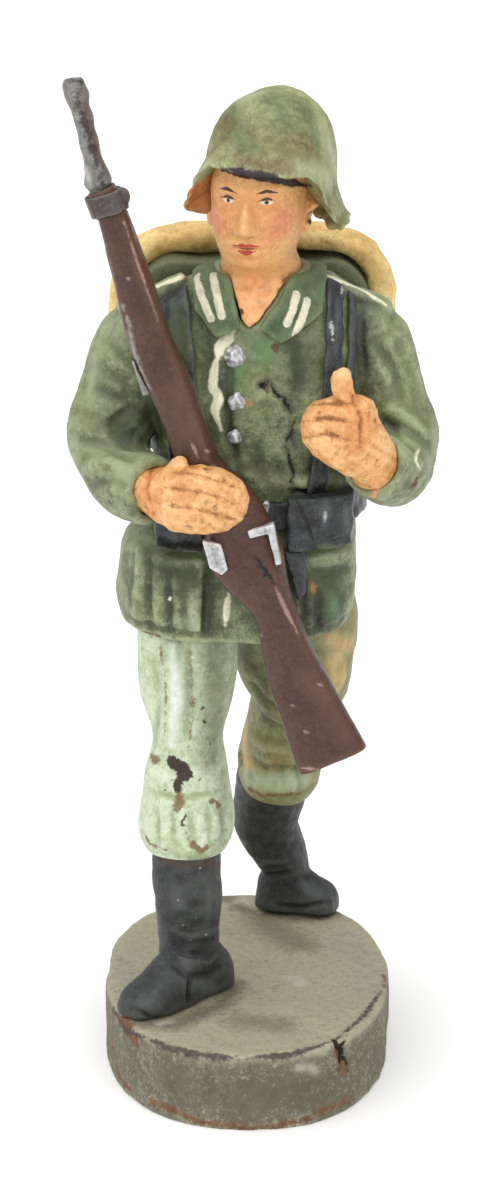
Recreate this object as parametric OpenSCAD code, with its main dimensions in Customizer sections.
// A painted marching figure on an oval plinth, pressed over wires, all sizes in mm.
// The figure looks along -Y, its left hand is on the +X side, and it stands up along +Z.

/* [Plinth] */
// Width of the plinth from side to side
plinth_w = 22; // [20.5:0.1:27]
// Length of the plinth from front to back
plinth_l = 31.6; // [30:0.1:38]
// Thickness of the plinth
plinth_h = 6; // [4.5:0.1:9]
// Squareness of the plinth's outline, where 2 is an ellipse
plinth_square = 2.3; // [2:0.1:3.2]

/* [Heights above the plinth] */
// Top of the boots
boot_top_h = 12.8; // [11.5:0.1:14.2]
// Bottom edge of the coat
hem_h = 29.9; // [28.8:0.1:31]
// Middle of the belt
waist_h = 39.8; // [38.6:0.1:41]
// Top of the shoulders
shoulder_h = 53.6; // [52.2:0.1:55]
// Tip of the chin
chin_h = 58.2; // [57.4:0.1:59.4]
// Top of the helmet
crown_h = 71; // [69.8:0.1:72.6]

/* [Legs] */
// Diameter of a thigh where it leaves the coat
thigh_d = 7.8; // [7.2:0.1:8.4]
// Diameter of a trouser leg at the knee
knee_d = 5.3; // [5:0.1:6]
// Diameter of the gathered trouser end over the boot
gather_d = 7.4; // [6.8:0.1:7.9]
// Diameter of a boot at its top
boot_d = 5; // [4.6:0.1:5.6]
// Diameter of a boot at the ankle
ankle_d = 4.5; // [4:0.1:5]
// Length of a foot
foot_l = 10.5; // [9.8:0.1:11.4]
// Width of a foot
foot_w = 4.5; // [4:0.1:5.2]

/* [Coat] */
// Width of the coat at the belt
waist_w = 15.2; // [14.4:0.1:16.2]
// Depth of the coat at the belt
waist_d = 11.6; // [11:0.1:12.4]
// Width of the chest between the arms
chest_w = 17.2; // [16.4:0.1:18.2]
// Depth of the chest
chest_d = 12.2; // [11.6:0.1:13]
// Width of the coat's skirt at the pockets
skirt_w = 18.2; // [17.6:0.1:19]
// Depth of the coat's skirt at the pockets
skirt_d = 14; // [13.4:0.1:14.8]
// Diameter of a sleeve at the upper arm
sleeve_d = 6.1; // [5.6:0.1:6.8]
// Diameter of a sleeve at the cuff
cuff_d = 5; // [4.6:0.1:5.6]
// How far the elbows stand out from the middle of the coat
elbow_out = 11.1; // [10.6:0.1:12]

/* [Head and helmet] */
// Turn of the head to its right, in degrees
head_turn = 11; // [0:1:20]
// Width of the face at the cheeks
head_w = 7; // [6.6:0.1:7.6]
// Depth of the head from face to nape
head_d = 9.4; // [9:0.1:10]
// Diameter of the neck
neck_d = 5.7; // [5.2:0.1:6.2]
// Width of the helmet's dome
helmet_w = 9.8; // [9.3:0.1:10.4]
// Length of the helmet's dome
helmet_l = 11.6; // [11:0.1:12.4]
// How far the helmet's rim flares out
helmet_flare = 1.3; // [0.9:0.1:1.6]

/* [Belt, straps and pack] */
// Height of the belt
belt_h = 2.2; // [1.8:0.1:2.6]
// Thickness of the shoulder straps
strap_t = 0.6; // [0.4:0.05:0.7]
// Thickness of the belt
belt_t = 0.8; // [0.75:0.05:1]
// Width of a shoulder strap
strap_w = 1.3; // [1.1:0.1:1.6]
// Height of a cartridge pouch
pouch_h = 4.1; // [3.6:0.1:4.8]
// How far a pouch stands out from the coat
pouch_t = 2; // [1.5:0.1:2.5]
// Width of the knapsack
pack_w = 17.6; // [16.8:0.1:18.4]
// Height of the knapsack
pack_h = 15.6; // [14.6:0.1:16.6]
// Depth of the knapsack
pack_d = 5; // [4.2:0.1:6]
// Thickness of the blanket roll, seen from the front
roll_t = 2.1; // [1.9:0.1:2.5]
// Depth of the blanket roll
roll_d = 3.8; // [3.4:0.1:4.6]

/* [Rifle] */
// Length of the rifle from muzzle to butt
rifle_l = 54.6; // [53:0.1:56.5]
// Lean of the barrel from upright, in degrees
rifle_lean = 17.1; // [16:0.1:18.4]
// Width of the fore-end
fore_w = 3; // [2.7:0.1:3.4]
// Width of the rifle at its receiver
receiver_w = 5.6; // [5:0.1:6]
// Width of the butt at its end
butt_w = 5.5; // [5:0.1:6]
// Thickness of the stock
stock_t = 2.9; // [2.5:0.1:3.2]
// Diameter of the barrel
barrel_d = 1.8; // [1.5:0.1:2.1]

/* [Wires and fits] */
// Diameter of the iron wire inside
wire_d = 1.2; // [0.9:0.1:1.4]
// Diameter of a coat button
button_d = 1.5; // [1.2:0.1:1.9]
// Air between the rifle and the coat it lies on
rifle_air = 0.1; // [0.05:0.05:0.3]

/* [Hidden] */

// Facets round a big form, a limb and a wire
round_body = 28;
round_limb = 20;
round_wire = 8;

// Heights in the shared frame
ground = plinth_h;
boot_top = ground + boot_top_h;
hem = ground + hem_h;
waist = ground + waist_h;
shoulder = ground + shoulder_h;
chin = ground + chin_h;
crown = ground + crown_h;

// Spans of the coat above and below the belt
chest_span = shoulder - waist;
upper_arm = shoulder - 0.45 * chest_span;
skirt_span = waist - hem;
seat_z = hem + 0.84 * skirt_span;

// Colours of the paint
green = "#6f7d5b";
dark_green = "#4c5842";
pale_green = "#a9b49a";
flesh = "#d9a679";
black = "#2c2b2a";
tan = "#a98f66";
brown = "#6b453c";
silver = "#a7a39a";
earth = "#847c6b";
iron = "#5d5751";

// Reach of the outlines that cut through the whole figure
far = 30;

// Forms: rows of numbers are smoothed, turned into rings of points, and skinned.
function unit(v) = v / norm(v);
function cubic(a, b, c, d, t) =
    0.5 * (2 * b + (c - a) * t + (2 * a - 5 * b + 4 * c - d) * t * t + (3 * b - a - 3 * c + d) * t * t * t);
function smooth_rows(rows, steps) = [
    for (i = [0 : len(rows) - 2])
        for (k = [0 : steps - 1])
            cubic(rows[max(i - 1, 0)], rows[i], rows[i + 1], rows[min(i + 2, len(rows) - 1)], k / steps),
    rows[len(rows) - 1]
];
function power(v, n) = sign(v) * pow(abs(v), 2 / n);
// A level ring: row is [x, y, z, half width, half depth]
function level_ring(row, grow, n, sides, turn = 0) = [
    for (i = [0 : sides - 1])
        let (
            u = (row[3] + grow) * power(cos(360 * i / sides), n),
            v = (row[4] + grow) * power(sin(360 * i / sides), n)
        )
        [row[0] + u * cos(turn) - v * sin(turn), row[1] + u * sin(turn) + v * cos(turn), row[2]]
];
// A ring square to a path: row is [x, y, z, half size along side, half size across it]
function spot(row) = [row[0], row[1], row[2]];
function heading(rows, i) = unit(spot(rows[min(i + 1, len(rows) - 1)]) - spot(rows[max(i - 1, 0)]));
function path_ring(rows, i, side, grow, n, sides) =
    let (
        t = heading(rows, i),
        u = unit(side - (side * t) * t),
        v = cross(t, u)
    )
    [
        for (k = [0 : sides - 1])
            spot(rows[i])
                + (rows[i][3] + grow) * power(cos(360 * k / sides), n) * u
                + (rows[i][4] + grow) * power(sin(360 * k / sides), n) * v
    ];
function middle(ring) = [for (k = [0 : 2]) [for (p = ring) p[k]] * [for (p = ring) 1] / len(ring)];

// Skins a stack of rings; the lower end may be hollowed to a given point.
module skin(rings, low = undef) {
    n = len(rings[0]);
    m = len(rings);
    bottom = is_undef(low) ? middle(rings[0]) : low;
    points = concat([for (r = rings) each r], [bottom, middle(rings[m - 1])]);
    walls = [
        for (i = [0 : m - 2])
            for (j = [0 : n - 1])
                let (a = i * n + j, b = i * n + (j + 1) % n)
                each [[a, a + n, b], [b, a + n, b + n]]
    ];
    floor_faces = [for (j = [0 : n - 1]) [m * n, j, (j + 1) % n]];
    roof_faces = [for (j = [0 : n - 1]) [m * n + 1, (m - 1) * n + (j + 1) % n, (m - 1) * n + j]];
    polyhedron(points, concat(walls, floor_faces, roof_faces), convexity = 8);
}
module stack(rows, steps, grow = 0, n = 2.3, sides = round_body, turn = 0)
    skin([for (r = smooth_rows(rows, steps)) level_ring(r, grow, n, sides, turn)]);
module sweep(rows, steps, side, grow = 0, n = 2.2, sides = round_limb) {
    fine = smooth_rows(rows, steps);
    skin([for (i = [0 : len(fine) - 1]) path_ring(fine, i, side, grow, n, sides)]);
}
// A wire along points, and a front outline pushed through the figure from y0 to y1
module wire(points)
    sweep([for (p = points) [p[0], p[1], p[2], wire_d / 2, wire_d / 2]], 2, [1, 0.1, 0], 0, 2, round_wire);
module outline(points, y0, y1)
    translate([0, y1, 0])
        rotate([90, 0, 0])
            linear_extrude(y1 - y0)
                polygon(points);
module bead(p, r, sides = 10)
    translate(p)
        sphere(r, $fn = sides);

// Coat: one stack of level rows from below the belt to the root of the neck
coat_x = 0.6;
neck_x = 1.1;
body_rows = [
    [coat_x, -0.1, seat_z, waist_w / 2, waist_d / 2],
    [coat_x, -0.1, waist + 1.6, waist_w / 2, waist_d / 2],
    [coat_x, -0.2, waist + 0.38 * chest_span, chest_w / 2 - 0.6, chest_d / 2 - 0.2],
    [coat_x, -0.3, shoulder - 0.43 * chest_span, chest_w / 2, chest_d / 2],
    [coat_x, -0.2, shoulder - 0.19 * chest_span, chest_w / 2, chest_d / 2 - 0.5],
    [coat_x + 0.1, 0, shoulder, chest_w / 2 - 0.7, chest_d / 2 - 1.3],
    [neck_x - 0.1, 0.1, shoulder + 1.9, chest_w / 2 - 2, neck_d / 2 + 1.6],
    [neck_x, 0.1, shoulder + 3.2, neck_d / 2 + 1.5, neck_d / 2 + 0.8],
    [neck_x, 0, shoulder + 3.8, neck_d / 2 + 0.5, neck_d / 2 + 0.4]
];
module body_form(grow = 0) stack(body_rows, 3, grow);

// Skirt of the coat, from inside the belt down to the hem
skirt_x = -0.85;
skirt_rows = [
    [skirt_x, -0.3, hem, skirt_w / 2 - 0.4, skirt_d / 2],
    [skirt_x, -0.3, hem + 0.3 * skirt_span, skirt_w / 2, skirt_d / 2],
    [skirt_x + 0.3, -0.2, hem + 0.65 * skirt_span, skirt_w / 2 - 0.3, skirt_d / 2 - 0.4],
    [coat_x, -0.1, seat_z, waist_w / 2, waist_d / 2]
];
module skirt_form(grow = 0) stack(skirt_rows, 3, grow);

// Row of a stack at a height, and how far forward a level form reaches at a place
function row_at(rows, z, i = 0) =
    i >= len(rows) - 2 || z <= rows[i + 1][2]
        ? let (share = (z - rows[i][2]) / (rows[i + 1][2] - rows[i][2]))
            rows[i] + (rows[i + 1] - rows[i]) * max(0, min(1, share))
        : row_at(rows, z, i + 1);
function front_of(rows, x, z, n = 2.3) =
    let (r = row_at(rows, z), s = min(0.98, abs(x - r[0]) / r[3]))
    r[1] - r[4] * pow(1 - pow(s, n), 1 / n);

// Legs: the right one steps forward, the left one trails
right_ankle = [-4.5, -3.6, ground + 5.4];
right_knee = [-4.6, -4.1, (boot_top + hem) / 2 - 1.2];
right_hip = [-4.2, -1.2, hem + 0.45 * skirt_span];
left_ankle = [2.9, 12.9, ground + 4.2];
left_calf = [1.5, 11.6, ground + 8];
left_knee = [2.7, 6.4, (boot_top + hem) / 2 - 0.6];
left_hip = [4.1, 0.6, hem + 0.45 * skirt_span];
right_mouth = [-4.6, -4.2, boot_top];
left_mouth = [2.05, 9.5, boot_top];
// Each foot runs from its heel along a direction on the plinth
right_heel = [-1.9, -1.4];
right_aim = 226;
left_heel = [0.9, 13.6];
left_aim = -15;
left_foot_share = 0.62;
// Rows of a foot: [way along, half width, height]
function foot_rows(long) = [
    [0, foot_w * 0.26, 2.4],
    [0.09 * long, foot_w * 0.42, 3.6],
    [0.3 * long, foot_w * 0.46, 4.9],
    [0.52 * long, foot_w * 0.46, 3.9],
    [0.74 * long, foot_w * 0.5, 2.8],
    [0.92 * long, foot_w * 0.41, 2.2],
    [long, foot_w * 0.2, 1.4]
];
module foot(heel, aim, long) {
    d = [cos(aim), sin(aim)];
    rings = [
        for (r = smooth_rows(foot_rows(long), 2))
            [
                for (k = [0 : round_limb - 1])
                    let (w = r[1] * power(cos(360 * k / round_limb), 2.4), s = sin(360 * k / round_limb))
                    [
                        heel[0] + r[0] * d[0] + w * d[1],
                        heel[1] + r[0] * d[1] - w * d[0],
                        ground + (s > 0 ? 0.7 + (r[2] - 0.7) * power(s, 2.2) : 0.7 * (1 - power(-s, 3)))
                    ]
            ]
    ];
    // The rings run along the foot, so each one is read backwards to face outwards.
    skin([for (r = rings) [for (k = [len(r) - 1 : -1 : 0]) r[k]]]);
}
right_shaft_rows = [
    [right_ankle[0], right_ankle[1], ground + 1.6, ankle_d / 2 - 0.2, ankle_d / 2 - 0.2],
    [right_ankle[0], right_ankle[1], right_ankle[2], ankle_d / 2, ankle_d / 2],
    [-4.65, -4, (right_ankle[2] + boot_top) / 2 + 0.4, boot_d / 2, boot_d / 2 + 0.1],
    [right_mouth[0], right_mouth[1], boot_top + 1.4, boot_d / 2, boot_d / 2]
];
left_shaft_rows = [
    [left_ankle[0] + 0.3, left_ankle[1] + 0.1, ground + 1.6, ankle_d / 2 - 0.3, ankle_d / 2 - 0.3],
    [left_ankle[0], left_ankle[1], left_ankle[2], ankle_d / 2 - 0.2, ankle_d / 2 - 0.1],
    [left_calf[0], left_calf[1], left_calf[2], boot_d / 2 + 0.1, boot_d / 2],
    [left_mouth[0] - 0.2, left_mouth[1] + 0.7, boot_top - 1.4, boot_d / 2 + 0.4, boot_d / 2],
    [left_mouth[0] + 0.3, left_mouth[1] - 1.5, boot_top + 2.4, boot_d / 2 + 0.4, boot_d / 2]
];
module right_boot_form() {
    sweep(right_shaft_rows, 3, [1, 0, 0]);
    foot(right_heel, right_aim, foot_l);
}
module left_boot_form() {
    sweep(left_shaft_rows, 3, [1, 0, 0]);
    foot(left_heel, left_aim, foot_l * left_foot_share);
}
right_leg_rows = [
    [right_mouth[0], right_mouth[1], boot_top - 0.4, boot_d / 2 + 0.5, boot_d / 2 + 0.5],
    [right_mouth[0], right_mouth[1], boot_top + 1.8, gather_d / 2, gather_d / 2],
    [right_knee[0], right_knee[1], right_knee[2] - 1.4, knee_d / 2 + 0.5, knee_d / 2 + 0.6],
    [right_knee[0], right_knee[1], right_knee[2] + 1.4, knee_d / 2, knee_d / 2 + 0.2],
    [-4.6, -3.2, hem - 5.6, thigh_d / 2 - 0.35, thigh_d / 2 - 0.3],
    [-4.45, -2.3, hem - 1, thigh_d / 2, thigh_d / 2 - 0.1],
    [right_hip[0], right_hip[1], right_hip[2], thigh_d / 2, thigh_d / 2]
];
left_leg_rows = [
    [left_mouth[0] + 0.2, left_mouth[1], boot_top - 0.2, boot_d / 2 + 0.4, boot_d / 2 + 0.4],
    [left_mouth[0] + 0.5, left_mouth[1] - 0.9, boot_top + 1.6, gather_d / 2 - 0.3, gather_d / 2 - 0.3],
    [left_knee[0] + 0.6, left_knee[1], left_knee[2], knee_d / 2 + 0.1, knee_d / 2 + 0.4],
    [3.9, 3.4, hem - 6.4, thigh_d / 2 + 0.25, thigh_d / 2],
    [3.6, 2.8, hem - 4, thigh_d / 2 + 0.75, thigh_d / 2],
    [3.75, 2.2, hem - 1, thigh_d / 2 + 0.75, thigh_d / 2],
    [left_hip[0], left_hip[1], left_hip[2], thigh_d / 2, thigh_d / 2]
];
module right_leg_form() sweep(right_leg_rows, 3, [1, 0, 0]);
module left_leg_form() sweep(left_leg_rows, 3, [1, 0, 0]);

// Rifle: a line from the muzzle down to the butt, laid on the chest and the skirt
rifle_dx = sin(rifle_lean);
rifle_dz = -cos(rifle_lean);
butt_x = 6.4;
// The stock's middle line bends away from the barrel's line, at the receiver, the wrist and the butt
receiver_drop = 1.6;
wrist_drop = 2.4;
butt_drop = 3.2;
butt_z = waist - 17.9;
// The barrel's line meets the butt's plane to the left of the butt, by its drop
line_x = butt_x - butt_drop * cos(rifle_lean);
line_z = butt_z - butt_drop * sin(rifle_lean);
function rifle_x(z) = line_x - (z - line_z) * tan(rifle_lean);
chest_z = shoulder - 0.36 * chest_span;
lap_z = hem + 0.45 * skirt_span;
chest_y = front_of(body_rows, rifle_x(chest_z) + fore_w / 2, chest_z) - strap_t - stock_t / 2 - rifle_air;
lap_rest = min(front_of(skirt_rows, rifle_x(lap_z) + 1, lap_z), front_of(body_rows, 0, waist) - belt_t);
lap_y = lap_rest - stock_t / 2 - rifle_air - 0.5;
rifle_slope = (chest_y - lap_y) / (chest_z - lap_z);
function rifle_y(z) = lap_y + (z - lap_z) * rifle_slope;
rifle_down = unit([rifle_dx, rifle_dz * rifle_slope, rifle_dz]);
rifle_under = unit(cross([0, 1, 0], rifle_down));
rifle_under_out = rifle_under * (rifle_under[0] > 0 ? 1 : -1);
rifle_face = cross(rifle_down, rifle_under_out);
muzzle = [line_x, rifle_y(line_z), line_z] - rifle_l * rifle_down;
// Point of the rifle, a way t from the muzzle and w towards its underside
function rifle_at(t, w = 0) = muzzle + t * rifle_down + w * rifle_under_out;
// Rows of the stock: [way from the muzzle, drop, half width, half thickness]
nose_t = 8.3;
grip_t = rifle_l - 21.6;
stock_rows = [
    [nose_t, -0.5, fore_w / 2 - 0.4, stock_t / 2 - 0.3],
    [nose_t + 4, -0.2, fore_w / 2 - 0.3, stock_t / 2 - 0.1],
    [nose_t + 12, -0.4, fore_w / 2 + 0.2, stock_t / 2],
    [grip_t - 8, 0.2, fore_w / 2 + 0.1, stock_t / 2],
    [grip_t - 3, 0.3, fore_w / 2 + 0.1, stock_t / 2],
    [grip_t + 1, receiver_drop, receiver_w / 2 - 0.5, stock_t / 2],
    [grip_t + 5, receiver_drop, receiver_w / 2, stock_t / 2],
    [grip_t + 9, wrist_drop, fore_w / 2 + 0.1, stock_t / 2],
    [grip_t + 14, wrist_drop, (fore_w + butt_w) / 4, stock_t / 2 - 0.1],
    [rifle_l, butt_drop, butt_w / 2, stock_t / 2 - 0.1]
];
bolt_t = grip_t + 3.6;
guard_t = grip_t + 4;
sight_t = grip_t - 10.6;
function drop_at(t) = lookup(t, [for (r = stock_rows) [r[0], r[1]]]);
module stock_form(grow = 0) {
    rows = [
        for (r = smooth_rows(stock_rows, 3))
            [each rifle_at(r[0], r[1]), r[2], r[3]]
    ];
    skin([for (i = [0 : len(rows) - 1]) path_ring(rows, i, rifle_under_out, grow, 2.5, round_limb)]);
}
// Places a piece on the rifle: x from the muzzle to the butt, y towards the underside, z out of its face
module on_rifle(t, w, h = 0)
    multmatrix([
        [rifle_down[0], rifle_under_out[0], rifle_face[0], rifle_at(t, w)[0] + h * rifle_face[0]],
        [rifle_down[1], rifle_under_out[1], rifle_face[1], rifle_at(t, w)[1] + h * rifle_face[1]],
        [rifle_down[2], rifle_under_out[2], rifle_face[2], rifle_at(t, w)[2] + h * rifle_face[2]]
    ])
        children();
// The barrel is turned: a thick muzzle, a thin waist and a swelling before the stock
module barrel_form() {
    r = barrel_d / 2;
    on_rifle(0, 0)
        rotate([0, 0, atan2(drop_at(nose_t), nose_t)])
            rotate([0, 90, 0])
                rotate_extrude($fn = 32)
                    polygon([[0, 0], [r - 0.2, 0], [r, 0.4], [r, 1.3], [r - 0.18, 2.2], [r - 0.18, 6],
                        [r + 0.1, 7.8], [r + 0.1, nose_t - 0.4], [r - 0.15, nose_t], [r - 0.15, nose_t + 4],
                        [0, nose_t + 4]]);
}

// Arms: shoulder, elbow, wrist and hand of each side
grip = rifle_at(grip_t - 0.4, 0.2);
hand_r = [grip[0] - 0.9, grip[1] - stock_t / 2 - 0.15, grip[2] + 0.4];
wrist_r = [hand_r[0] - 3, hand_r[1] + 1.3, hand_r[2] + 0.1];
elbow_r = [coat_x - elbow_out - 0.3, -1.9, waist + 0.3 * chest_span];
hand_l = [6.7, -10.4, waist + 0.594 * chest_span];
wrist_l = [9.2, -8.4, waist + 0.34 * chest_span];
elbow_l = [coat_x + elbow_out - 0.4, -2, waist + 0.29 * chest_span];
right_sleeve_rows = [
    [coat_x - chest_w / 2 + 2.2, 0.1, shoulder - 0.9, sleeve_d / 2 - 0.7, sleeve_d / 2],
    [coat_x - chest_w / 2 - 0.2, 0, shoulder - 2.6, sleeve_d / 2, sleeve_d / 2 + 0.3],
    [(coat_x - chest_w / 2 + elbow_r[0]) / 2 - 0.4, -0.6, upper_arm, sleeve_d / 2 - 0.1, sleeve_d / 2],
    [elbow_r[0] + 0.1, elbow_r[1] + 0.3, elbow_r[2] + 1.2, sleeve_d / 2 - 0.2, sleeve_d / 2 - 0.1],
    [elbow_r[0] + 0.9, elbow_r[1] - 1.5, elbow_r[2] - 0.9, sleeve_d / 2 - 0.3, sleeve_d / 2 - 0.3],
    [(elbow_r[0] + wrist_r[0]) / 2 + 0.1, (elbow_r[1] + wrist_r[1]) / 2 - 0.6,
        (elbow_r[2] + wrist_r[2]) / 2 - 0.8, cuff_d / 2 + 0.2, cuff_d / 2 + 0.2],
    [wrist_r[0], wrist_r[1], wrist_r[2], cuff_d / 2, cuff_d / 2]
];
left_sleeve_rows = [
    [coat_x + chest_w / 2 - 2.2, 0.1, shoulder - 0.9, sleeve_d / 2 - 0.7, sleeve_d / 2],
    [coat_x + chest_w / 2 - 0.1, 0, shoulder - 2.6, sleeve_d / 2, sleeve_d / 2 + 0.3],
    [(coat_x + chest_w / 2 + elbow_l[0]) / 2 + 0.2, -0.7, upper_arm, sleeve_d / 2, sleeve_d / 2],
    [elbow_l[0] + 0.1, elbow_l[1] + 0.4, elbow_l[2] + 1.1, sleeve_d / 2, sleeve_d / 2 - 0.1],
    [elbow_l[0] - 0.1, elbow_l[1] - 1.6, elbow_l[2] - 0.7, sleeve_d / 2 - 0.2, sleeve_d / 2 - 0.2],
    [(elbow_l[0] + wrist_l[0]) / 2 + 0.2, (elbow_l[1] + wrist_l[1]) / 2 - 0.8,
        (elbow_l[2] + wrist_l[2]) / 2 - 0.7, cuff_d / 2 + 0.2, cuff_d / 2 + 0.2],
    [wrist_l[0], wrist_l[1], wrist_l[2], cuff_d / 2, cuff_d / 2]
];
module right_sleeve_form(grow = 0) sweep(right_sleeve_rows, 3, [0.3, 1, 0.2], grow);
module left_sleeve_form(grow = 0) sweep(left_sleeve_rows, 3, [-0.3, 1, 0.2], grow);

// Hands: each is one mitten of palm and closed fingers, with a thumb
thumb_r = 0.8;
module chain(points, r)
    for (i = [0 : len(points) - 2])
        hull() {
            bead(points[i], r);
            bead(points[i + 1], r * 0.97);
        }
module right_hand_form() {
    mitten = [
        [wrist_r[0] - 0.8, wrist_r[1] + 0.7, wrist_r[2] + 0.15, 1.6, 1.7],
        [wrist_r[0] + 0.6, wrist_r[1] - 0.2, wrist_r[2], 1.75, 1.95],
        [hand_r[0] - 1.6, hand_r[1] + 0.1, hand_r[2] + 0.1, 1.9, 2.5],
        [hand_r[0] + 0.3, hand_r[1], hand_r[2] - 0.05, 1.9, 2.7],
        [hand_r[0] + 1.9, hand_r[1] + 0.15, hand_r[2] - 0.25, 1.7, 2.5],
        [hand_r[0] + 3.1, hand_r[1] + 0.5, hand_r[2] - 0.4, 1.2, 1.8],
        [hand_r[0] + 3.7, hand_r[1] + 0.8, hand_r[2] - 0.45, 0.5, 0.9]
    ];
    sweep(mitten, 2, [0, 1, 0.12], 0, 2.3, 16);
    chain([[hand_r[0] - 2, hand_r[1] - 0.4, hand_r[2] + 1.6],
        [hand_r[0] - 1.2, hand_r[1] - 0.3, hand_r[2] + 2.7]], thumb_r);
}
module left_hand_form() {
    mitten = [
        [wrist_l[0] + 0.3, wrist_l[1] + 0.6, wrist_l[2] - 0.9, 1.5, 1.7],
        [wrist_l[0] - 0.2, wrist_l[1] - 0.4, wrist_l[2] + 0.7, 1.6, 2],
        [hand_l[0] + 0.9, hand_l[1] + 0.3, hand_l[2] - 1.1, 1.9, 2.6],
        [hand_l[0] - 0.1, hand_l[1], hand_l[2] + 0.5, 1.9, 3],
        [hand_l[0] - 0.6, hand_l[1] + 0.1, hand_l[2] + 1.6, 1.5, 2.3],
        [hand_l[0] - 0.8, hand_l[1] + 0.2, hand_l[2] + 2.2, 0.8, 1.2]
    ];
    sweep(mitten, 2, [0, 1, 0], 0, 2.4, 18);
    chain([[hand_l[0] + 0.9, hand_l[1] - 0.5, hand_l[2] + 1.4],
        [hand_l[0] + 0.2, hand_l[1] - 0.7, hand_l[2] + 3.1],
        [hand_l[0] + 0.1, hand_l[1] - 0.7, hand_l[2] + 4]], thumb_r);
}

// Head and neck, from the plug in the coat up to the skull inside the helmet
// A place on the head, with x to its left and y to its back from the neck's axis, turned with the head
function on_head(x, y, z) = [
    neck_x + x * cos(head_turn) + y * sin(head_turn),
    y * cos(head_turn) - x * sin(head_turn),
    z
];
face_y = -1.5;
head_rows = [
    for (r = [
        [0, 0, shoulder - 1, neck_d / 2 - 0.3, neck_d / 2 - 0.3],
        [0, 0, shoulder + 2, neck_d / 2, neck_d / 2],
        [0, -0.5, chin - 0.6, neck_d / 2 + 0.1, neck_d / 2 + 0.5],
        [0, face_y, chin + 0.7, head_w / 2 - 0.8, head_d / 2 - 0.6],
        [0, face_y, chin + 2.4, head_w / 2 - 0.25, head_d / 2 - 0.1],
        [0.1, face_y, chin + 4.4, head_w / 2, head_d / 2],
        [0.2, face_y, chin + 6.6, head_w / 2 + 0.1, head_d / 2],
        [0.5, face_y + 0.5, crown - 3.4, head_w / 2 - 0.3, head_d / 2 - 0.4],
        [0.6, face_y + 0.7, crown - 1.6, head_w / 2 - 1.5, head_d / 2 - 1.7]
    ])
        [each on_head(r[0], r[1], r[2]), r[3], r[4]]
];
face_front = face_y - head_d / 2;
throat = [[-1.7, shoulder + 5], [-0.4, shoulder + 0.8], [0.1, shoulder + 0.3], [0.8, shoulder + 0.8],
    [4, shoulder + 5]];
module head_form() {
    stack(head_rows, 3, 0, 2.2, round_body, -head_turn);
    // Open throat between the two halves of the collar
    intersection() {
        body_form(0.2);
        outline(throat, -far, 0);
    }
    // Nose and ears
    hull() {
        bead(on_head(0, face_front + 0.2, chin + 5.4), 0.4);
        bead(on_head(0, face_front - 0.4, chin + 3.7), 0.55);
        bead(on_head(-0.5, face_front + 0.3, chin + 3.4), 0.5);
        bead(on_head(0.5, face_front + 0.3, chin + 3.4), 0.5);
    }
    for (s = [-1, 1])
        hull() {
            bead(on_head(s * head_w / 2, face_y + 0.5, chin + 4.9), 0.7);
            bead(on_head(s * (head_w / 2 - 0.1), face_y + 0.1, chin + 2.9), 0.55);
        }
}

// Helmet: a dome whose rim lies high over the brow and low at the ears and the nape
dome_x = 0.75;
dome_y = -0.4;
brow_rim = chin + 7.85;
ear_rim = chin + 3.2;
dome_foot = crown - 6.4;
rim_tilt = 0.45;
helmet_roll = 0.07;
function ease(v) = let (t = max(0, min(1, v))) t * t * (3 - 2 * t);
function rim_at(a) = ear_rim + (brow_rim - ear_rim) * ease((-sin(a) - 0.3) / 0.5) - rim_tilt * cos(a);
function dome_share(z) = pow(max(0, 1 - pow(max(0, (z - dome_foot) / (crown - dome_foot)), 2.3)), 1 / 2.1);
module helmet_form() {
    levels = [0, 0.04, 0.09, 0.16, 0.26, 0.38, 0.52, 0.66, 0.78, 0.88, 0.95, 0.99];
    rings = [
        for (h = levels)
            [
                for (k = [0 : round_body - 1])
                    let (
                        a = 360 * k / round_body,
                        z = rim_at(a) + h * (crown - rim_at(a)),
                        out = helmet_flare * pow(max(0, 1 - (z - rim_at(a)) / 3.4), 1.5)
                    )
                    on_head(
                        dome_x + helmet_roll * (z - brow_rim)
                            + (helmet_w / 2 * dome_share(z) + out) * cos(a),
                        dome_y + (helmet_l / 2 * dome_share(z) + out) * sin(a),
                        z
                    )
            ]
    ];
    skin(rings, on_head(dome_x, dome_y, crown - 4));
}

// Wires inside
right_leg_line = [
    [right_ankle[0], right_ankle[1], 1.6],
    [right_ankle[0], right_ankle[1], right_ankle[2]],
    right_knee,
    right_hip,
    [coat_x - 2.6, -0.4, waist + 0.5],
    [coat_x - 2.2, -0.3, waist + 4]
];
left_leg_line = [
    [left_ankle[0] + 0.2, left_ankle[1], 1.6],
    left_ankle,
    left_calf,
    left_mouth,
    left_knee,
    left_hip,
    [coat_x + 2.6, 0.2, waist + 0.5],
    [coat_x + 2.2, 0.1, waist + 4]
];
spine_line = [
    [coat_x, 0, waist + 0.4 * chest_span],
    [neck_x, 0, shoulder - 2],
    [neck_x, -0.3, chin],
    on_head(0, face_y + 0.6, chin + 6)
];
right_arm_line = [
    [coat_x - 3, 0, shoulder - 4.2],
    [coat_x - chest_w / 2 + 0.8, 0, shoulder - 2.6],
    [elbow_r[0] + 0.6, elbow_r[1] + 0.3, elbow_r[2] + 1],
    (elbow_r + wrist_r) / 2 + [0.1, -0.3, -0.4],
    wrist_r,
    [wrist_r[0] + 0.7, wrist_r[1] - 0.5, wrist_r[2] + 0.2]
];
left_arm_line = [
    [coat_x + 3, 0, shoulder - 4.2],
    [coat_x + chest_w / 2 - 0.8, 0, shoulder - 2.6],
    [elbow_l[0] - 0.4, elbow_l[1] + 0.3, elbow_l[2] + 1],
    (elbow_l + wrist_l) / 2 + [0.1, -0.3, -0.4],
    wrist_l,
    [hand_l[0] + 0.9, hand_l[1] + 0.3, hand_l[2] - 0.6]
];
module wires() {
    wire(right_leg_line);
    wire(left_leg_line);
    wire(spine_line);
    wire(right_arm_line);
    wire(left_arm_line);
}

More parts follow.
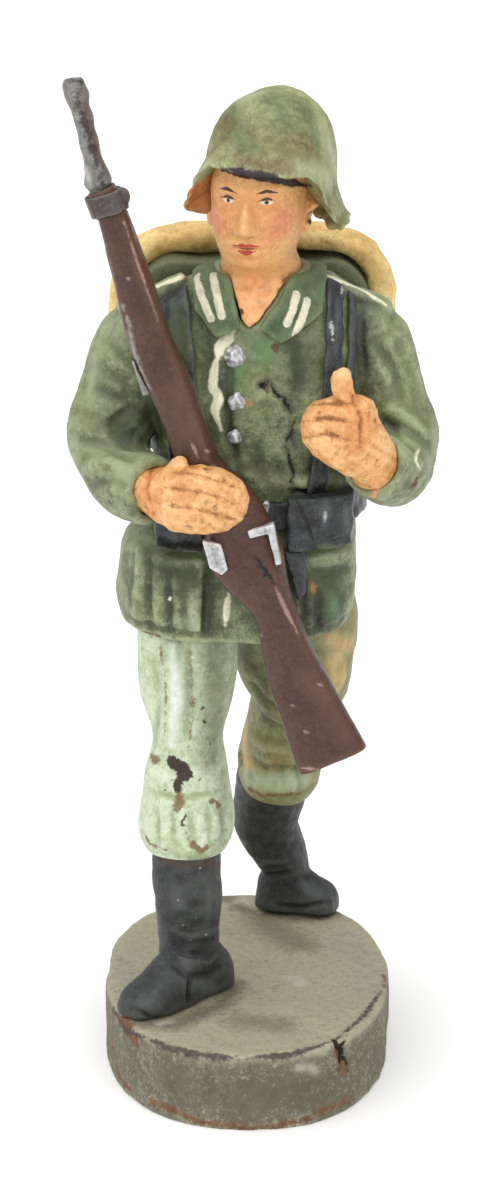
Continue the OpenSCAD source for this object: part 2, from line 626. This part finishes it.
// Knapsack, the roll round its edge and the pegs that hold it
pack_x = 0.4;
pack_top = shoulder + 2.65;
pack_y0 = chest_d / 2 - 1;
pack_mid = pack_y0 + pack_d / 2 + 0.6;
pack_corner = 3;
module pack_form()
    translate([pack_x, pack_y0 + pack_d + 0.6, pack_top - pack_h / 2])
        rotate([90, 0, 0])
            linear_extrude(pack_d + 0.6)
                offset(r = pack_corner, $fn = 32)
                    square([pack_w - 2 * pack_corner, pack_h - 2 * pack_corner], center = true);
roll_x = pack_w / 2 + roll_t / 2;
roll_low = pack_top - pack_h + 3;
roll_top = pack_top + roll_t / 2;
roll_bend = pack_corner + roll_t / 2;
function roll_corner(side, a) = [
    side * (roll_x - roll_bend) + roll_bend * cos(a),
    roll_top - roll_bend + roll_bend * sin(a)
];
roll_rows = [
    for (p = concat(
        [[-roll_x, roll_low], [-roll_x, (roll_low + roll_top) / 2]],
        [for (a = [180 : -22.5 : 90]) roll_corner(-1, a)],
        [for (a = [90 : -22.5 : 0]) roll_corner(1, a)],
        [[roll_x, (roll_low + roll_top) / 2], [roll_x, roll_low]]
    ))
        [pack_x + p[0], pack_mid, p[1], roll_d / 2, roll_t / 2]
];
roll_strap_w = 1.4;
roll_strap_t = 0.35;
module roll_form(grow = 0) sweep(roll_rows, 1, [0, 1, 0], grow, 2.2, 18);
peg_x = 4.5;
peg_z = shoulder - 0.58 * chest_span;
module peg_forms()
    for (s = [-1, 1])
        translate([pack_x + s * peg_x, pack_y0 - 1.6, peg_z])
            rotate([-90, 0, 0])
                cylinder(d = wire_d, h = 4.4, $fn = 24);

// Outlines on the front of the coat, as [x, z]
function band(points, w) =
    let (m = len(points))
    [
        for (i = [0 : m - 1])
            points[i] + along_side(points, i) * w / 2,
        for (i = [m - 1 : -1 : 0])
            points[i] - along_side(points, i) * w / 2
    ];
function upright(x0, x1, z0, z1) = [[x0, z0], [x1, z0], [x1, z1], [x0, z1]];
function along_side(points, i) =
    let (d = unit(points[min(i + 1, len(points) - 1)] - points[max(i - 1, 0)]))
    [-d[1], d[0]];
belt_top = waist + belt_h / 2;
belt_foot = waist - belt_h / 2;
belt_air = 0.15;
pouch_top = waist + pouch_h / 2 - 0.3;
pouch_foot = waist - pouch_h / 2 - 0.3;
board_y = 1.1;
collar_right = [[-4.4, shoulder + 5], [-4, shoulder + 1.6], [-2.4, shoulder - 0.4], [-0.4, shoulder + 0.4],
    [-1.7, shoulder + 5]];
collar_left = [[6.1, shoulder + 5], [5.6, shoulder + 1.4], [2.5, shoulder - 0.8], [0.8, shoulder + 0.4],
    [4, shoulder + 5]];
pocket_foot = hem + 0.1 * skirt_span;
pocket_top = hem + 0.68 * skirt_span;
pocket_right = [[-8.8, pocket_foot + 0.2], [-3.4, pocket_foot], [-3.2, pocket_top], [-8.4, pocket_top]];
pocket_left = [[8.2, pocket_foot + 0.2], [3.6, pocket_foot], [3.4, pocket_top], [8, pocket_top]];
right_strap_band = band([[-6.4, shoulder + 4.6], [-5.5, shoulder + 2], [-5.1, shoulder - 0.6],
    [-4.9, shoulder - 4], [-4.6, belt_top]], strap_w * 1.7);
left_strap_band = band([[6.6, shoulder + 5], [6.4, shoulder - 1], [6.2, shoulder - 4.5],
    [5, belt_top]], strap_w);
left_pack_band = band([[7.8, shoulder + 5], [7.75, shoulder - 1], [7.6, shoulder - 5]], strap_w * 0.5);
// What lies on the coat: the coat grown by a thickness, kept inside an outline
module coat_form(grow) {
    body_form(grow);
    skirt_form(grow);
}
module laid(points, from, to, back) {
    difference() {
        intersection() {
            coat_form(to);
            outline(points, -far, back);
        }
        coat_form(from);
    }
}

scabbard_tip = pouch_foot - 3.8;
scabbard_face = [[2.7, pouch_foot], [4.2, pouch_foot], [4.4, scabbard_tip + 0.6], [3.7, scabbard_tip]];

// Nodes
module plinth()
    color(earth)
        difference() {
            linear_extrude(plinth_h)
                polygon([
                    for (i = [0 : 63])
                        [
                            plinth_w / 2 * power(cos(360 * i / 64), plinth_square),
                            plinth_l / 2 * power(sin(360 * i / 64), plinth_square)
                        ]
                ]);
            for (p = [right_leg_line[0], left_leg_line[0]])
                translate(p)
                    cylinder(d = wire_d, h = plinth_h, $fn = 24);
        }
module right_boot()
    color(black)
        difference() {
            right_boot_form();
            wire(right_leg_line);
        }
module left_boot()
    color(black)
        difference() {
            left_boot_form();
            wire(left_leg_line);
        }
module right_trouser_leg()
    color(pale_green)
        difference() {
            right_leg_form();
            right_boot_form();
            wire(right_leg_line);
        }
module left_trouser_leg()
    color(pale_green)
        difference() {
            left_leg_form();
            right_leg_form();
            left_boot_form();
            wire(left_leg_line);
        }
module tunic_skirt()
    color(green)
        difference() {
            union() {
                skirt_form();
                // Patch pockets over both hips
                intersection() {
                    skirt_form(0.45);
                    union() {
                        outline(pocket_right, -far, 0);
                        outline(pocket_left, -far, 0);
                    }
                }
            }
            right_leg_form();
            left_leg_form();
            wires();
        }
module tunic_body()
    color(green)
        difference() {
            body_form();
            head_form();
            wires();
            peg_forms();
        }
module collar()
    color(dark_green)
        difference() {
            intersection() {
                body_form(0.8);
                union() {
                    outline(collar_right, -far, 1);
                    outline(collar_left, -far, 1);
                    translate([-3.9, 0.5, shoulder + 1])
                        cube([9.8, 8, 2.2]);
                }
            }
            body_form();
            head_form();
            stock_form(rifle_air);
        }
module right_sleeve()
    color(green)
        difference() {
            right_sleeve_form();
            body_form();
            skirt_form();
            right_hand_form();
            stock_form(rifle_air);
            wire(right_arm_line);
        }
module left_sleeve()
    color(green)
        difference() {
            left_sleeve_form();
            body_form();
            skirt_form();
            left_hand_form();
            wire(left_arm_line);
        }
module right_hand()
    color(flesh)
        difference() {
            right_hand_form();
            stock_form(rifle_air / 2);
            wire(right_arm_line);
        }
module left_hand()
    color(flesh)
        difference() {
            left_hand_form();
            wire(left_arm_line);
        }
module head()
    color(flesh)
        difference() {
            head_form();
            wire(spine_line);
        }
module helmet()
    color(dark_green)
        difference() {
            helmet_form();
            head_form();
        }
module belt()
    color(black)
        difference() {
            intersection() {
                coat_form(belt_t);
                translate([-far, -far, belt_foot])
                    cube([2 * far, 2 * far, belt_h]);
            }
            coat_form(0);
            right_sleeve_form();
            left_sleeve_form();
        }
module belt_buckle()
    color(silver)
        difference() {
            laid(upright(-0.8, 1.6, belt_foot - 0.1, belt_top + 0.1), belt_t, belt_t + 0.3, -2);
            stock_form(rifle_air);
            right_hand_form();
        }
// Cartridge pouches hang on the outside of the belt, each between two places across the front
module pouches(places)
    difference() {
        intersection() {
            coat_form(pouch_t);
            union()
                for (p = places)
                    outline(upright(p[0], p[1], pouch_foot, pouch_top), -far, -1);
        }
        coat_form(belt_t);
        stock_form(rifle_air);
    }
module right_pouches()
    color(black)
        difference() {
            pouches([[-6.9, -5.2], [-5, -3.3]]);
            right_sleeve_form();
            right_hand_form();
        }
module left_pouches()
    color(black)
        difference() {
            pouches([[2.9, 4.5], [4.7, 6.3], [6.5, 7.9]]);
            left_sleeve_form();
        }
module right_strap()
    color(black)
        difference() {
            laid(right_strap_band, 0, strap_t, -board_y);
            outline(collar_right, -far, 5);
            right_sleeve_form();
            right_hand_form();
        }
module left_strap()
    color(black)
        difference() {
            laid(left_strap_band, 0, strap_t, -board_y);
            outline(collar_left, -far, 5);
            left_sleeve_form();
        }
module left_pack_strap()
    color(black)
        difference() {
            laid(left_pack_band, 0, strap_t * 0.8, -board_y);
            left_sleeve_form();
        }
// Shoulder boards: a flat ribbon over the top of each shoulder, with the straps' ends before it
module board(side)
    sweep([
        for (p = [[5.3, 2.8], [7.2, 1.75], [8.8, 1.3], [10.2, 0.4]])
            [coat_x + side * p[0], 0, shoulder + p[1], board_y, strap_t * 0.7]
    ], 2, [0, 1, 0], 0, 6, 16);
module right_epaulette()
    color(dark_green)
        difference() {
            board(-1);
            body_form();
            right_sleeve_form();
            outline(collar_right, -far, 5);
        }
module left_epaulette()
    color(dark_green)
        difference() {
            board(1);
            body_form();
            left_sleeve_form();
            outline(collar_left, -far, 5);
        }
button_places = [
    [-0.95, shoulder - 0.12 * chest_span, button_d / 2 + 0.15],
    [-0.8, shoulder - 0.355 * chest_span, button_d / 2 - 0.1],
    [-0.9, shoulder - 0.55 * chest_span, button_d / 2 - 0.15]
];
module coat_buttons()
    color(silver)
        difference() {
            for (p = button_places)
                let (y = front_of(body_rows, p[0], p[1]))
                hull() {
                    bead([p[0], y, p[1]], p[2]);
                    bead([p[0], y - 0.2, p[1]], p[2] - 0.15);
                }
            body_form();
            stock_form(rifle_air);
        }
module scabbard()
    color(black)
        difference() {
            laid(scabbard_face, 0.5, 1.5, -1);
            stock_form(rifle_air);
        }
module knapsack()
    color(dark_green)
        difference() {
            pack_form();
            body_form();
            right_sleeve_form();
            left_sleeve_form();
            peg_forms();
            // Room for the belt where it runs under the pack
            translate([-far, 0, belt_foot - belt_air])
                cube([2 * far, waist_d / 2 + belt_t + belt_air, belt_h + 2 * belt_air]);
        }
module blanket_roll()
    color(tan)
        difference() {
            roll_form();
            pack_form();
            body_form();
            right_sleeve_form();
            left_sleeve_form();
        }
module roll_straps()
    color(black)
        difference() {
            intersection() {
                roll_form(roll_strap_t);
                union() {
                    translate([pack_x - roll_strap_w / 2, 0, shoulder - 2])
                        cube([roll_strap_w, far, far]);
                    for (s = [-1, 1])
                        translate([pack_x + s * roll_x - 4, 0, shoulder - 6.6])
                            cube([8, far, roll_strap_w]);
                }
            }
            roll_form();
            pack_form();
            body_form();
            right_sleeve_form();
            left_sleeve_form();
        }
module rifle_stock()
    color(brown)
        difference() {
            stock_form();
            barrel_form();
        }
module rifle_barrel()
    color(silver)
        barrel_form();
module rifle_nose_band()
    color(iron)
        difference() {
            union() {
                intersection() {
                    stock_form(0.3);
                    on_rifle(nose_t + 1.1, drop_at(nose_t))
                        cube([1.6, 12, 12], center = true);
                }
                on_rifle(nose_t + 1, drop_at(nose_t) + fore_w / 2 - 0.3)
                    sphere(0.75, $fn = 16);
            }
            stock_form();
            barrel_form();
        }
module rifle_bolt()
    color(silver)
        difference() {
            on_rifle(bolt_t, drop_at(bolt_t) - receiver_w / 2 + 0.9, stock_t / 2 - 0.4)
                linear_extrude(0.7)
                    polygon([[-1.4, -0.7], [0.8, -0.8], [1.6, -0.1], [1.3, 0.5], [-0.7, 0.5]]);
            stock_form();
            right_hand_form();
        }
module rifle_trigger_guard()
    color(silver)
        difference() {
            on_rifle(guard_t, drop_at(guard_t) + receiver_w / 2 - 1.3, stock_t / 2 - 0.5)
                linear_extrude(0.9)
                    polygon([[-1.5, -0.7], [-0.9, -0.7], [-0.9, 0.7], [1.6, 0.5], [1.6, 1], [-1.5, 1.3]]);
            stock_form();
            right_hand_form();
        }
module rifle_rear_sight()
    color(silver)
        difference() {
            on_rifle(sight_t, drop_at(sight_t) - fore_w / 2 - 0.1, 0.2)
                cube([2.8, 0.7, 1.2], center = true);
            stock_form();
        }
module right_leg_wire()
    color(iron)
        wire(right_leg_line);
module left_leg_wire()
    color(iron)
        wire(left_leg_line);
module spine_wire()
    color(iron)
        wire(spine_line);
module right_arm_wire()
    color(iron)
        wire(right_arm_line);
module left_arm_wire()
    color(iron)
        wire(left_arm_line);
module knapsack_pegs()
    color(iron)
        peg_forms();

plinth();
right_boot();
left_boot();
right_trouser_leg();
left_trouser_leg();
tunic_skirt();
tunic_body();
collar();
right_sleeve();
left_sleeve();
right_hand();
left_hand();
head();
helmet();
belt();
belt_buckle();
right_pouches();
left_pouches();
right_strap();
left_strap();
left_pack_strap();
right_epaulette();
left_epaulette();
coat_buttons();
scabbard();
knapsack();
blanket_roll();
roll_straps();
rifle_stock();
rifle_barrel();
rifle_nose_band();
rifle_bolt();
rifle_trigger_guard();
rifle_rear_sight();
right_leg_wire();
left_leg_wire();
spine_wire();
right_arm_wire();
left_arm_wire();
knapsack_pegs();
